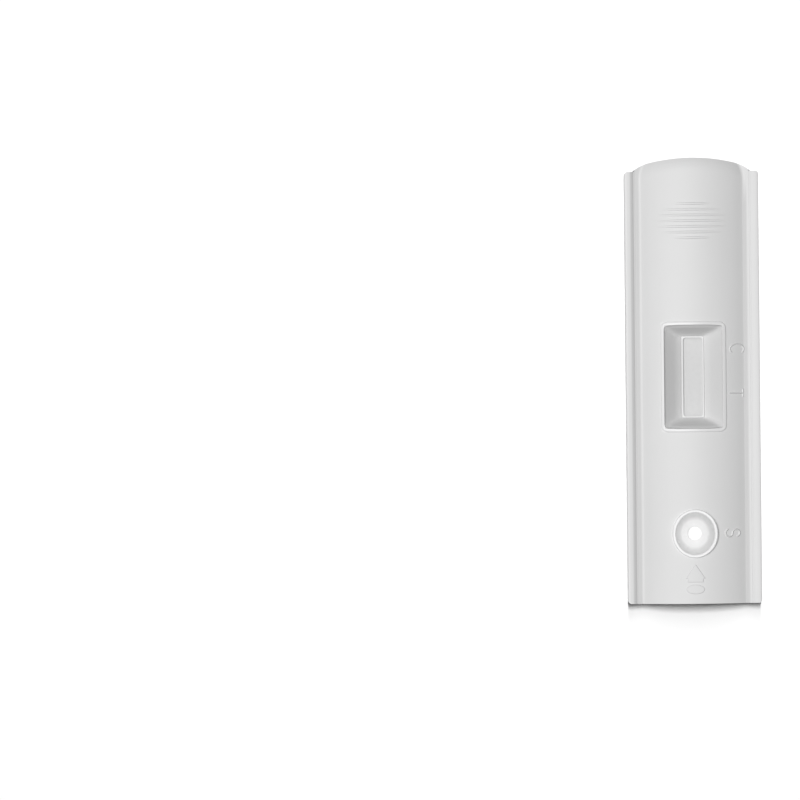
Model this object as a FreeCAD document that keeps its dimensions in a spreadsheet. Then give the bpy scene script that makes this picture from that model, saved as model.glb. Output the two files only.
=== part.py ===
import FreeCAD, Part
import math
import os
import Sketcher

# Pregnancy test cassette: a flat moulded case that holds a 4 mm wide test strip.
# It lies on its back. +Z is up out of the face, +Y runs along the case to its
# bowed end, and the origin is under the middle of the case on the resting plane.

document = FreeCAD.newDocument("test_cassette")
sheet = document.addObject("Spreadsheet::Sheet", "Sizes")

DRIVING_SIZES = [
    ("case_length", 70.0, "straight end to the tip of the bowed end"),
    ("case_width", 21.0, "across the outside of the rails"),
    ("case_height", 5.5, "underside to the crown of the dome"),
    ("rail_width", 1.5, "side rails"),
    ("rail_over_lip", 0.1, "how far the rails stand over the cover's lips"),
    ("rail_end_width", 1.19, "end face of a rail beside the bowed end"),
    ("bow_crown_drop", 0.713, "how far the bowed end's flat middle arc falls back"),
    ("bow_side_width", 2.81, "tighter arc at each side of it, across the case"),
    ("rail_end_drop", 2.1, "how far the rails stop short of the tip"),
    ("rail_corner_radius", 0.5, "upright corners of the rails"),
    ("rail_inner_round", 0.5, "rounding of the rails beside the dome"),
    ("rail_outer_round", 0.25, "rounding of the rails at the outside"),
    ("underside_round", 0.3, "rounding round the underside"),
    ("cover_side_gap", 0.02, "cover skirt to rail"),
    ("parting_height", 2.2, "underside to the joint between the shells"),
    ("rail_height", 3.525, "underside to the top of the rails"),
    ("dome_foot_round", 0.6, "hollow fillet at the foot of the dome"),
    ("lip_width", 0.85, "cover's lips outside the foot of the dome"),
    ("lip_rise", 0.3, "how far the lips rise from the foot of the dome"),
    ("roll_off_width", 1.1, "bevel of the dome at the bowed end, inwards"),
    ("roll_off_depth", 0.6, "the same bevel, downwards"),
    ("roll_off_round", 3.5, "rounding between the bevel and the dome"),
    ("cover_wall", 1.0, "thickness of the cover"),
    ("end_wall", 1.2, "end walls of both shells"),
    ("base_floor", 1.0, "floor of the base"),
    ("base_ledge", 0.5, "width of the step that carries the cover"),
    ("window_from_end", 35.6, "straight end to the middle of the window"),
    ("slot_width", 3.05, "viewing slot across the case"),
    ("slot_length", 12.35, "viewing slot along the case"),
    ("slot_corner_radius", 0.4, "corners of the slot"),
    ("slot_edge", 0.15, "upright edge at the foot of the slot"),
    ("slot_lip_width", 0.28, "raised lip round the slot"),
    ("slot_lip_height", 0.16, "how far that lip stands over the foot of the recess"),
    ("slot_lip_bevel", 0.1, "bevel of that lip at the outside"),
    ("mouth_width", 9.3, "mouth of the window recess across the case"),
    ("mouth_length", 16.4, "mouth of the window recess along the case"),
    ("dish_side_bow", 9.0, "hollow of the recess's long walls, outside"),
    ("dish_end_bow", 8.0, "hollow of the recess's end walls, outside"),
    ("dish_corner_radius", 1.3, "corners of the recess half-way up"),
    ("recess_wall", 0.8, "thickness of the recess's walls"),
    ("bead_width", 0.45, "raised frame round the window"),
    ("bead_height", 0.22, "how far that frame stands up"),
    ("mouth_corner_radius", 0.6, "corners of the mouth"),
    ("bead_round", 0.14, "rounding of the raised frame"),
    ("well_from_end", 11.0, "straight end to the middle of the sample well"),
    ("well_ring_width", 7.2, "raised ring of the well across the case"),
    ("well_ring_length", 7.7, "raised ring of the well along the case"),
    ("well_ring_band", 0.6, "width of the ring"),
    ("well_ring_height", 0.25, "how far the ring stands over the crown"),
    ("well_ring_bevel", 0.15, "bevel of the ring"),
    ("well_hole", 2.15, "hole at the foot of the well"),
    ("well_edge", 0.2, "upright edge of that hole"),
    ("well_wall", 0.8, "thickness of the bowl"),
    ("strip_width", 4.0, "backing card and pads"),
    ("strip_start_gap", 1.8, "straight end wall to the strip"),
    ("strip_end_gap", 5.8, "strip to the bowed end wall"),
    ("strip_bed", 0.6, "floor to the underside of the strip"),
    ("strip_side_gap", 0.15, "strip to its guides"),
    ("card_thickness", 0.25, "backing card"),
    ("membrane_thickness", 0.15, "membrane"),
    ("membrane_length", 25.0, "membrane"),
    ("conjugate_thickness", 0.3, "conjugate pad"),
    ("conjugate_length", 9.0, "conjugate pad"),
    ("sample_pad_thickness", 0.6, "sample pad"),
    ("absorbent_thickness", 0.9, "absorbent pad"),
    ("pad_overlap", 2.0, "how far each pad lies on its neighbour"),
    ("pad_step", 0.35, "length of the step where a pad climbs"),
    ("guide_width", 0.8, "strip guides and bed ribs"),
    ("guide_length", 4.0, "strip guides"),
    ("guide_height", 0.45, "how far the guides rise over the bed"),
    ("guide_pitch", 8.5, "guide to guide along the strip"),
    ("bed_rib_side_gap", 2.5, "bed ribs to the sides of the tray"),
    ("rib_root", 0.2, "how far ribs, pins and sockets root in their shell"),
    ("socket_side_gap", 0.6, "sockets to the sides of the tray"),
    ("pin_diameter", 1.6, "pins of the cover"),
    ("pin_fit", 0.05, "pin to socket, all round"),
    ("pin_end_gap", 0.2, "pin to the floor"),
    ("socket_wall", 0.75, "wall of the sockets"),
    ("socket_top_gap", 0.1, "sockets below the joint"),
    ("press_rib_width", 0.8, "hold-down ribs along the case"),
    ("press_rib_length", 5.0, "hold-down ribs across the case"),
    ("press_gap", 0.1, "hold-down ribs to the pads"),
    ("window_gap", 0.1, "membrane to the slot wall's foot, before the joint plane trims it"),
    ("well_gap", 0.1, "sample pad to the foot of the well"),
    ("grip_from_tip", 9.9, "tip to the middle of the grip field"),
    ("grip_length", 6.1, "grip field along the case"),
    ("grip_width", 12.4, "grip field across the case"),
    ("grip_rib_top", 0.22, "a grip rib across its flat top"),
    ("grip_rib_foot", 0.74, "a grip rib across its foot, which is under the skin"),
    ("grip_rib_depth", 0.32, "from a rib's top to its foot"),
    ("grip_run_out", 1.1, "a rib's length under the skin to its length in sight"),
    ("grip_rib_height", 0.14, "how far a grip rib stands up"),
]
# Sizes that follow from those, in the same sheet.
DERIVED_SIZES = [
    ("dome_half_width", "=case_width / 2 - rail_width - cover_side_gap - lip_width"),
    ("dome_rise", "=case_height - rail_height + rail_over_lip + lip_rise"),
    ("dome_radius", "=(dome_half_width ^ 2 + dome_rise ^ 2) / (2 * dome_rise)"),
    ("bow_crown_half_width", "=case_width / 2 - rail_end_width - bow_side_width"),
    ("bow_crown_radius", "=(bow_crown_half_width ^ 2 + bow_crown_drop ^ 2) / (2 * bow_crown_drop)"),
]
GRIP_RIBS = 7
PINS_FROM_STRAIGHT_END = [5.0, 22.0]
PINS_FROM_TIP = [15.0]
PRESS_RIBS_ON_ABSORBENT = 3

for row, (alias, size, note) in enumerate(DRIVING_SIZES, start=1):
    sheet.set(f"A{row}", note)
    sheet.set(f"B{row}", str(size))
    sheet.setAlias(f"B{row}", alias)
for row, (alias, formula) in enumerate(DERIVED_SIZES, start=len(DRIVING_SIZES) + 1):
    sheet.set(f"B{row}", formula)
    sheet.setAlias(f"B{row}", alias)
    document.recompute()


def measure(expression):
    """The value in millimetres or degrees of an expression in the sheet's sizes."""
    found = sheet.evalExpression(expression)
    return float(getattr(found, "Value", found))


# Heights and places that follow from the driving sizes.
TIP = "(Sizes.case_length / 2)"
STRAIGHT_END = "(-Sizes.case_length / 2)"
RAIL_END = f"({TIP} - Sizes.rail_end_drop)"
DOME_AXIS = "(Sizes.case_height - Sizes.dome_radius)"
SEAT_HALF_WIDTH = "(Sizes.case_width / 2 - Sizes.rail_width)"
COVER_HALF_WIDTH = f"({SEAT_HALF_WIDTH} - Sizes.cover_side_gap)"
CAVITY_HALF_WIDTH = f"({COVER_HALF_WIDTH} - Sizes.cover_wall)"
BOW_HALF_WIDTH = "(Sizes.case_width / 2 - Sizes.rail_end_width)"
DOME_HALF_WIDTH = "Sizes.dome_half_width"
DOME_FOOT = "(Sizes.case_height - Sizes.dome_rise)"
LIP_TOP = f"({DOME_FOOT} + Sizes.lip_rise)"
RAIL_TOP = "Sizes.rail_height"
WINDOW_CENTRE = f"({STRAIGHT_END} + Sizes.window_from_end)"
WELL_CENTRE = f"({STRAIGHT_END} + Sizes.well_from_end)"
GRIP_CENTRE = f"({TIP} - Sizes.grip_from_tip)"
TRAY_HALF_WIDTH = f"({SEAT_HALF_WIDTH} - Sizes.base_ledge)"
RIB_ROOT = "(Sizes.base_floor - Sizes.rib_root)"
BED = "(Sizes.base_floor + Sizes.strip_bed)"
CARD_TOP = f"({BED} + Sizes.card_thickness)"
MEMBRANE_TOP = f"({CARD_TOP} + Sizes.membrane_thickness)"
SAMPLE_PAD_TOP = f"({CARD_TOP} + Sizes.sample_pad_thickness)"
ABSORBENT_TOP = f"({CARD_TOP} + Sizes.absorbent_thickness)"
SLOT_FOOT = f"({MEMBRANE_TOP} + Sizes.window_gap)"
SLOT_RIM = f"({SLOT_FOOT} + Sizes.slot_edge)"
WELL_FOOT = f"({SAMPLE_PAD_TOP} + Sizes.well_gap)"
LIP_HALF_WIDTH = "(Sizes.slot_width / 2 + Sizes.slot_lip_width)"
LIP_HALF_LENGTH = "(Sizes.slot_length / 2 + Sizes.slot_lip_width)"
MOUTH_SIDE = f"({DOME_AXIS} + sqrt(Sizes.dome_radius ^ 2 - (Sizes.mouth_width / 2) ^ 2))"
RING_TOP = "(Sizes.case_height + Sizes.well_ring_height)"
SKIRT_END = f"({STRAIGHT_END} + Sizes.end_wall)"
STRIP_START = f"({SKIRT_END} + Sizes.strip_start_gap)"
STRIP_END = f"({TIP} - Sizes.end_wall - Sizes.strip_end_gap)"
MEMBRANE_START = f"({WINDOW_CENTRE} - Sizes.membrane_length / 2)"
MEMBRANE_END = f"({WINDOW_CENTRE} + Sizes.membrane_length / 2)"
CONJUGATE_END = f"({MEMBRANE_START} + Sizes.pad_overlap)"
CONJUGATE_START = f"({CONJUGATE_END} - Sizes.conjugate_length)"
SAMPLE_PAD_END = f"({CONJUGATE_START} + Sizes.pad_overlap)"
ABSORBENT_START = f"({MEMBRANE_END} - Sizes.pad_overlap)"
STRIP_HALF_WIDTH = "(Sizes.strip_width / 2)"
BORE_RADIUS = "(Sizes.pin_diameter / 2 + Sizes.pin_fit)"
SOCKET_RADIUS = f"({BORE_RADIUS} + Sizes.socket_wall)"
PIN_OFFSET = f"({TRAY_HALF_WIDTH} - Sizes.socket_side_gap - {SOCKET_RADIUS})"
PIN_PLACES = [f"({STRAIGHT_END} + {inset})" for inset in PINS_FROM_STRAIGHT_END]
PIN_PLACES += [f"({TIP} - {inset})" for inset in PINS_FROM_TIP]

# The bowed end is a flat middle arc with a tighter arc on each side, tangent to it.
SIDE_ARC_WIDTH = "Sizes.bow_side_width"
SIDE_ARC_DROP = "(Sizes.rail_end_drop - Sizes.bow_crown_drop)"
SIDE_ARC_CHORD = f"sqrt({SIDE_ARC_WIDTH} ^ 2 + {SIDE_ARC_DROP} ^ 2)"
SIDE_ARC_TURN = (
    f"(atan({SIDE_ARC_DROP} / {SIDE_ARC_WIDTH})"
    " - asin(Sizes.bow_crown_half_width / Sizes.bow_crown_radius))"
)
SIDE_ARC_RADIUS = f"({SIDE_ARC_CHORD} / (2 * sin({SIDE_ARC_TURN})))"
OUTWARD = 1
INWARD = -1


def new_body(label):
    body = document.addObject("PartDesign::Body", label)
    body.Label = label
    document.recompute()
    return body


def new_sketch(body, name, plane, offset="0"):
    """A sketch on one of the body's own planes, moved along that plane's normal."""
    sketch = body.newObject("Sketcher::SketchObject", name)
    support = [feature for feature in body.Origin.OriginFeatures if feature.Role == plane][0]
    sketch.AttachmentSupport = [(support, "")]
    sketch.MapMode = "FlatFace"
    sketch.setExpression("AttachmentOffset.Base.z", offset)
    return sketch


def bind(sketch, kind, elements, name, expression):
    """A named dimension that follows an expression in the sheet's sizes."""
    number = sketch.addConstraint(Sketcher.Constraint(kind, *elements, measure(expression)))
    sketch.renameConstraint(number, name)
    sketch.setExpression(f".Constraints.{name}", expression)


def draw_outline(sketch, corners, bows=None):
    """A closed outline through the corners, counter-clockwise. bows gives the edges
    that are arcs: the number of the edge's first corner, its radius, its side."""
    bows = bows or {}
    outline = sketch.GeometryCount
    points = [FreeCAD.Vector(measure(across), measure(along), 0) for across, along in corners]
    heads = []
    tails = []
    for number, start in enumerate(points):
        stop = points[(number + 1) % len(points)]
        if number in bows:
            radius = measure(bows[number][0])
            half_chord = (stop - start) * 0.5
            rise = radius - math.sqrt(radius ** 2 - half_chord.Length ** 2)
            outward = FreeCAD.Vector(half_chord.y, -half_chord.x, 0).normalize()
            middle = start + half_chord + outward * rise * bows[number][1]
            edge = sketch.addGeometry(Part.Arc(start, middle, stop), False)
        else:
            edge = sketch.addGeometry(Part.LineSegment(start, stop), False)
        starts_here = (sketch.getPoint(edge, 1) - start).Length < 1e-6
        heads.append((edge, 1 if starts_here else 2))
        tails.append((edge, 2 if starts_here else 1))
    for number, tail in enumerate(tails):
        head = heads[(number + 1) % len(heads)]
        sketch.addConstraint(Sketcher.Constraint("Coincident", *tail, *head))
    for number, (across, along) in enumerate(corners):
        bind(sketch, "DistanceX", (-1, 1, *heads[number]), f"x{outline}_{number}", across)
        bind(sketch, "DistanceY", (-1, 1, *heads[number]), f"y{outline}_{number}", along)
        if number in bows:
            bind(sketch, "Radius", (heads[number][0],), f"r{outline}_{number}", bows[number][0])


def draw_rectangle(sketch, left, right, front, back):
    draw_outline(sketch, [(left, front), (right, front), (right, back), (left, back)])


def draw_circle(sketch, across, along, radius):
    centre = FreeCAD.Vector(measure(across), measure(along), 0)
    circle = sketch.addGeometry(
        Part.Circle(centre, FreeCAD.Vector(0, 0, 1), measure(radius)), False
    )
    bind(sketch, "DistanceX", (-1, 1, circle, 3), f"x{circle}", across)
    bind(sketch, "DistanceY", (-1, 1, circle, 3), f"y{circle}", along)
    bind(sketch, "Radius", (circle,), f"r{circle}", radius)


def pad(body, sketch, length, reverse=False):
    feature = body.newObject("PartDesign::Pad", sketch.Name + "_pad")
    feature.Profile = sketch
    feature.setExpression("Length", length)
    feature.Reversed = reverse
    document.recompute()
    return feature


def pocket(body, sketch, length, reverse=False):
    """A cut that must take something away: its volume is compared."""
    before = body.Shape.Volume
    feature = body.newObject("PartDesign::Pocket", sketch.Name + "_pocket")
    feature.Profile = sketch
    feature.setExpression("Length", length)
    feature.Reversed = reverse
    document.recompute()
    if body.Shape.Volume > before - 1e-6:
        raise RuntimeError(f"{feature.Name} cuts nothing")
    return feature


def edges_where(shape, wanted):
    """Names of the edges whose middle point passes the test."""
    names = []
    for number, edge in enumerate(shape.Edges, start=1):
        middle = edge.valueAt((edge.FirstParameter + edge.LastParameter) / 2)
        if wanted(middle, edge):
            names.append(f"Edge{number}")
    return names


def fillet(body, name, radius, wanted):
    base = body.Tip
    feature = body.newObject("PartDesign::Fillet", name)
    feature.Base = (base, edges_where(base.Shape, wanted))
    feature.setExpression("Radius", radius)
    document.recompute()
    return feature


def chamfer(body, name, size, wanted):
    base = body.Tip
    feature = body.newObject("PartDesign::Chamfer", name)
    feature.Base = (base, edges_where(base.Shape, wanted))
    feature.setExpression("Size", size)
    document.recompute()
    return feature


def is_upright(edge):
    direction = edge.tangentAt(edge.FirstParameter)
    return abs(direction.z) > 0.99


def is_lengthwise(edge):
    direction = edge.tangentAt(edge.FirstParameter)
    return abs(direction.y) > 0.99


def boolean(kind, label, base, *tools):
    """Part::Cut and Part::Common of two objects, or Part::MultiFuse of several."""
    feature = document.addObject(kind, label)
    if kind == "Part::MultiFuse":
        feature.Shapes = [base, *tools]
    else:
        feature.Base = base
        feature.Tool = tools[0]
    feature.Label = label
    document.recompute()
    return feature


BOW_BEYOND = [
    (f"-{BOW_HALF_WIDTH}", RAIL_END),
    ("-Sizes.bow_crown_half_width", f"({TIP} - Sizes.bow_crown_drop)"),
    ("Sizes.bow_crown_half_width", f"({TIP} - Sizes.bow_crown_drop)"),
    (BOW_HALF_WIDTH, RAIL_END),
]


def draw_beyond_bow(sketch, inset, half_width):
    """The area past the bowed end, or past an inner face set in from it."""
    if inset is None:
        corners = BOW_BEYOND + [
            (BOW_HALF_WIDTH, f"({TIP} + Sizes.case_width)"),
            (f"-{BOW_HALF_WIDTH}", f"({TIP} + Sizes.case_width)"),
        ]
        bows = {
            0: (SIDE_ARC_RADIUS, INWARD),
            1: ("Sizes.bow_crown_radius", INWARD),
            2: (SIDE_ARC_RADIUS, INWARD),
        }
    else:
        radius = f"(Sizes.bow_crown_radius - {inset})"
        drop = f"({inset} + {radius} - sqrt({radius} ^ 2 - {half_width} ^ 2))"
        corners = [
            (f"-{half_width}", f"({TIP} - {drop})"),
            (half_width, f"({TIP} - {drop})"),
            (half_width, f"({TIP} + Sizes.case_width)"),
            (f"-{half_width}", f"({TIP} + Sizes.case_width)"),
        ]
        bows = {0: (radius, INWARD)}
    draw_outline(sketch, corners, bows)


def make_base_block():
    """The outside of the base: rails with rounded tops, cut to the plan of the case."""
    long = new_body("base_rails")
    section = new_sketch(long, "base_section", "XZ_Plane", f"-{TIP}")
    side = "(Sizes.case_width / 2)"
    foot = "Sizes.underside_round"
    top = RAIL_TOP
    outer = "Sizes.rail_outer_round"
    inner = "Sizes.rail_inner_round"
    right = [
        (f"({side} - {foot})", "0"),
        (side, foot),
        (side, f"({top} - {outer})"),
        (f"({side} - {outer})", top),
        (f"({SEAT_HALF_WIDTH} + {inner})", top),
        (SEAT_HALF_WIDTH, f"({top} - {inner})"),
        (SEAT_HALF_WIDTH, "Sizes.parting_height"),
    ]
    left = [(f"-{across}", height) for across, height in reversed(right)]
    corners = right + left
    last = len(corners) - 1
    bows = {0: (foot, OUTWARD), 2: (outer, OUTWARD), 4: (inner, OUTWARD)}
    bows.update({last - 1 - number: bow for number, bow in list(bows.items())})
    draw_outline(section, corners, bows)
    pad(long, section, "Sizes.case_length")

    flat = new_body("base_outline")
    plan = new_sketch(flat, "base_plan", "XY_Plane")
    corners = [
        (f"-{side}", STRAIGHT_END),
        (side, STRAIGHT_END),
        (side, RAIL_END),
        *reversed(BOW_BEYOND),
        (f"-{side}", RAIL_END),
    ]
    bows = {
        3: (SIDE_ARC_RADIUS, OUTWARD),
        4: ("Sizes.bow_crown_radius", OUTWARD),
        5: (SIDE_ARC_RADIUS, OUTWARD),
    }
    draw_outline(plan, corners, bows)
    pad(flat, plan, RAIL_TOP)
    outside = measure(side)
    fillet(
        flat, "rail_corners", "Sizes.rail_corner_radius",
        lambda middle, edge: is_upright(edge) and abs(middle.x) > outside - 0.01,
    )
    return boolean("Part::Common", "base_block", long, flat)


def make_tray_hollow():
    """The hollow of the base between its end walls and ledges."""
    body = new_body("tray_hollow")
    tray = new_sketch(body, "tray_plan", "XY_Plane", "Sizes.base_floor")
    radius = "(Sizes.bow_crown_radius - Sizes.end_wall)"
    drop = f"(Sizes.end_wall + {radius} - sqrt({radius} ^ 2 - {TRAY_HALF_WIDTH} ^ 2))"
    draw_outline(
        tray,
        [
            (f"-{TRAY_HALF_WIDTH}", SKIRT_END),
            (TRAY_HALF_WIDTH, SKIRT_END),
            (TRAY_HALF_WIDTH, f"({TIP} - {drop})"),
            (f"-{TRAY_HALF_WIDTH}", f"({TIP} - {drop})"),
        ],
        {2: (radius, OUTWARD)},
    )
    pad(body, tray, RAIL_TOP)
    return body


def make_bed_and_guides():
    """Cross ribs that the strip lies on, and guides on both sides of it."""
    bed_body = new_body("bed_ribs")
    bed = new_sketch(bed_body, "strip_bed_ribs", "XY_Plane", RIB_ROOT)
    guide_body = new_body("guides")
    guides = new_sketch(guide_body, "strip_guides", "XY_Plane", RIB_ROOT)
    inner = f"({STRIP_HALF_WIDTH} + Sizes.strip_side_gap)"
    outer = f"({inner} + Sizes.guide_width)"
    half_rib = f"({TRAY_HALF_WIDTH} - Sizes.bed_rib_side_gap)"
    count = int(measure(f"({STRIP_END} - {STRIP_START}) / Sizes.guide_pitch"))
    for number in range(count):
        start = f"({STRIP_START} + {number} * Sizes.guide_pitch)"
        end = f"({start} + Sizes.guide_length)"
        rib_start = f"({end} + Sizes.guide_width)"
        draw_rectangle(
            bed, f"-{half_rib}", half_rib,
            rib_start, f"({rib_start} + Sizes.guide_width)",
        )
        draw_rectangle(guides, inner, outer, start, end)
        draw_rectangle(guides, f"-{outer}", f"-{inner}", start, end)
    pad(bed_body, bed, "Sizes.strip_bed + Sizes.rib_root")
    pad(guide_body, guides, "Sizes.strip_bed + Sizes.guide_height + Sizes.rib_root")
    return bed_body, guide_body


def make_pin_cylinders(label, radius, foot, height):
    """One upright cylinder at each pin: the pins, their sockets and the bores."""
    body = new_body(label)
    sketch = new_sketch(body, f"{label}_circles", "XY_Plane", foot)
    for place in PIN_PLACES:
        for side in (f"-{PIN_OFFSET}", PIN_OFFSET):
            draw_circle(sketch, side, place, radius)
    pad(body, sketch, height)
    return body


def make_base():
    """The tray: floor, side rails, ledge for the cover, strip bed, guides, sockets."""
    tray = boolean("Part::Cut", "tray", make_base_block(), make_tray_hollow())
    sockets = make_pin_cylinders(
        "sockets", SOCKET_RADIUS, RIB_ROOT,
        f"(Sizes.parting_height - Sizes.socket_top_gap - {RIB_ROOT})",
    )
    filled = boolean("Part::MultiFuse", "base_filled", tray, sockets, *make_bed_and_guides())
    bores = make_pin_cylinders("bores", BORE_RADIUS, "Sizes.base_floor", "Sizes.parting_height")
    return boolean("Part::Cut", "bottom_cover", filled, bores)


def dome_section(sketch, rise):
    """Cross-section under the dome's arc and the cover's lips, or a shell's thickness
    outside or inside it where rise isn't zero."""
    radius = f"(Sizes.dome_radius + {rise})"
    foot = f"({DOME_AXIS} + sqrt({radius} ^ 2 - {DOME_HALF_WIDTH} ^ 2))"
    draw_outline(
        sketch,
        [
            (f"-{COVER_HALF_WIDTH}", "Sizes.parting_height"),
            (COVER_HALF_WIDTH, "Sizes.parting_height"),
            (COVER_HALF_WIDTH, LIP_TOP),
            (DOME_HALF_WIDTH, foot),
            (f"-{DOME_HALF_WIDTH}", foot),
            (f"-{COVER_HALF_WIDTH}", LIP_TOP),
        ],
        {3: (radius, OUTWARD)},
    )


def soften_roll_off(body, bow_front):
    """Rounds the dome into the bevel of the bowed end."""
    crown = measure("Sizes.case_height")
    fillet(
        body, "roll_off_round", "Sizes.roll_off_round",
        lambda middle, edge: abs(middle.x) < 0.5 and middle.y > bow_front - 2
        and abs(middle.z - crown) < 0.05 and not is_lengthwise(edge),
    )


def make_cover_block():
    """The outside of the cover as a solid: dome, lips, straight end and bowed end."""
    body = new_body("cover_block")
    section = new_sketch(body, "dome_section", "XZ_Plane", f"-{TIP}")
    dome_section(section, "0")
    pad(body, section, "Sizes.case_length")
    beyond = new_sketch(body, "beyond_bow", "XY_Plane")
    draw_beyond_bow(beyond, None, None)
    pocket(body, beyond, "2 * Sizes.case_height", reverse=True)

    bow_front = measure(RAIL_END) - 0.01
    foot = measure(DOME_FOOT)
    dome_side = measure(DOME_HALF_WIDTH)
    bevel = body.newObject("PartDesign::Chamfer", "roll_off")
    block = body.Tip if body.Tip.Name != bevel.Name else bevel.BaseFeature
    bevel.Base = (
        block,
        edges_where(
            block.Shape,
            lambda middle, edge: middle.y > bow_front and middle.z > foot + 0.05
            and abs(middle.x) < dome_side and not is_upright(edge),
        ),
    )
    bevel.ChamferType = "Two distances"
    bevel.FlipDirection = True
    bevel.setExpression("Size", "Sizes.roll_off_width")
    bevel.setExpression("Size2", "Sizes.roll_off_depth")
    document.recompute()
    soften_roll_off(body, bow_front)
    fillet(
        body, "dome_foot_round", "Sizes.dome_foot_round",
        lambda middle, edge: is_lengthwise(edge) and abs(abs(middle.x) - dome_side) < 0.01
        and abs(middle.z - foot) < 0.01,
    )
    return body


def make_cover_cavity():
    """The hollow of the cover: the dome and lips one wall further in."""
    body = new_body("cover_cavity")
    section = new_sketch(body, "cavity_section", "XZ_Plane", f"-{TIP}")
    radius = "(Sizes.dome_radius - Sizes.cover_wall)"
    shoulder = f"({DOME_AXIS} + sqrt({radius} ^ 2 - {CAVITY_HALF_WIDTH} ^ 2))"
    draw_outline(
        section,
        [
            (f"-{CAVITY_HALF_WIDTH}", "(Sizes.parting_height - Sizes.cover_wall)"),
            (CAVITY_HALF_WIDTH, "(Sizes.parting_height - Sizes.cover_wall)"),
            (CAVITY_HALF_WIDTH, shoulder),
            (f"-{CAVITY_HALF_WIDTH}", shoulder),
        ],
        {2: (radius, OUTWARD)},
    )
    pad(body, section, "(Sizes.case_length - Sizes.end_wall)")
    beyond = new_sketch(body, "beyond_inner_bow", "XY_Plane")
    draw_beyond_bow(beyond, "Sizes.end_wall", COVER_HALF_WIDTH)
    pocket(body, beyond, "2 * Sizes.case_height", reverse=True)
    return body


def make_recess_walls():
    """The outside of the window recess: two troughs that cross, one wall thicker than
    the dish inside them."""
    troughs = []
    for name, plane, slot, mouth, height, bow, centre in (
        ("across", "XZ_Plane", "Sizes.slot_width", "Sizes.mouth_width", MOUTH_SIDE,
         "Sizes.dish_side_bow", "0"),
        ("along", "YZ_Plane", "Sizes.slot_length", "Sizes.mouth_length",
         "Sizes.case_height", "Sizes.dish_end_bow", WINDOW_CENTRE),
    ):
        trough = new_body(f"recess_{name}")
        section = new_sketch(trough, f"recess_{name}_section", plane, "-Sizes.case_length / 4")
        slot_half = f"({slot} / 2 + Sizes.recess_wall)"
        mouth_half = f"({mouth} / 2 + Sizes.recess_wall)"
        top = "(Sizes.case_height + Sizes.end_wall)"
        draw_outline(
            section,
            [
                (f"({centre} - {slot_half})", SLOT_FOOT),
                (f"({centre} + {slot_half})", SLOT_FOOT),
                (f"({centre} + {slot_half})", SLOT_RIM),
                (f"({centre} + {mouth_half})", height),
                (f"({centre} + {mouth_half})", top),
                (f"({centre} - {mouth_half})", top),
                (f"({centre} - {mouth_half})", height),
                (f"({centre} - {slot_half})", SLOT_RIM),
            ],
            {2: (bow, OUTWARD), 6: (bow, OUTWARD)},
        )
        pad(trough, section, "Sizes.case_length / 2")
        troughs.append(trough)
    return boolean("Part::Common", "recess_outside", *troughs)


def rounded_window(body, name, height, half_width, half_length, radius):
    """A sketch of a rectangle with round corners about the middle of the window."""
    sketch = new_sketch(body, name, "XY_Plane", height)
    front = f"({WINDOW_CENTRE} - {half_length})"
    back = f"({WINDOW_CENTRE} + {half_length})"
    draw_outline(
        sketch,
        [
            (f"-({half_width} - {radius})", front), (f"({half_width} - {radius})", front),
            (half_width, f"({front} + {radius})"), (half_width, f"({back} - {radius})"),
            (f"({half_width} - {radius})", back), (f"-({half_width} - {radius})", back),
            (f"-{half_width}", f"({back} - {radius})"),
            (f"-{half_width}", f"({front} + {radius})"),
        ],
        {number: (radius, OUTWARD) for number in (1, 3, 5, 7)},
    )
    return sketch


# The dish from the slot's lip to the mouth: share of the height to the dome's side, then
# how far the long walls and the end walls have spread, as shares of their whole spread.
DISH_STEPS = ((0, 0, 0), (0.42, 0.54, 0.46), (1, 1, 0.86))


def make_recess_hollow():
    """The dished hollow over the slot with soft corners, the slot, and its raised lip."""
    dish = new_body("recess_dish")
    radii = ("Sizes.slot_corner_radius", "Sizes.dish_corner_radius", "Sizes.mouth_corner_radius")
    sketches = []
    for number, (lift, side, end) in enumerate(DISH_STEPS):
        height = f"({SLOT_RIM} + {lift} * ({MOUTH_SIDE} - {SLOT_RIM}))"
        half_width = f"({LIP_HALF_WIDTH} + {side} * (Sizes.mouth_width / 2 - {LIP_HALF_WIDTH}))"
        half_length = (
            f"({LIP_HALF_LENGTH} + {end} * (Sizes.mouth_length / 2 - {LIP_HALF_LENGTH}))"
        )
        sketches.append(
            rounded_window(dish, f"dish_{number}", height, half_width, half_length, radii[number])
        )
    mouth = rounded_window(
        dish, "mouth", "Sizes.case_height", "(Sizes.mouth_width / 2)",
        "(Sizes.mouth_length / 2)", "Sizes.mouth_corner_radius",
    )
    for name, profile, sections in (
        ("lower_dish", sketches[0], sketches[1:]), ("upper_dish", sketches[-1], [mouth]),
    ):
        loft = dish.newObject("PartDesign::AdditiveLoft", name)
        loft.Profile = profile
        loft.Sections = sections
        document.recompute()
    pad(dish, mouth, "Sizes.end_wall")

    lip = new_body("slot_lip")
    plan = rounded_window(
        lip, "lip_plan", SLOT_RIM, LIP_HALF_WIDTH, LIP_HALF_LENGTH, "Sizes.slot_corner_radius"
    )
    pad(lip, plan, "Sizes.slot_lip_height")
    lip_top = measure(f"{SLOT_RIM} + Sizes.slot_lip_height")
    chamfer(
        lip, "lip_bevel", "Sizes.slot_lip_bevel",
        lambda middle, edge: abs(middle.z - lip_top) < 0.001,
    )

    slot = new_body("slot_hollow")
    opening = rounded_window(
        slot, "slot_plan", MEMBRANE_TOP, "(Sizes.slot_width / 2)", "(Sizes.slot_length / 2)",
        "Sizes.slot_corner_radius",
    )
    pad(slot, opening, f"({SLOT_RIM} + Sizes.slot_lip_height - {MEMBRANE_TOP})")
    return boolean(
        "Part::MultiFuse", "recess_hollow", boolean("Part::Cut", "dish_round_lip", dish, lip), slot,
    )


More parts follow.
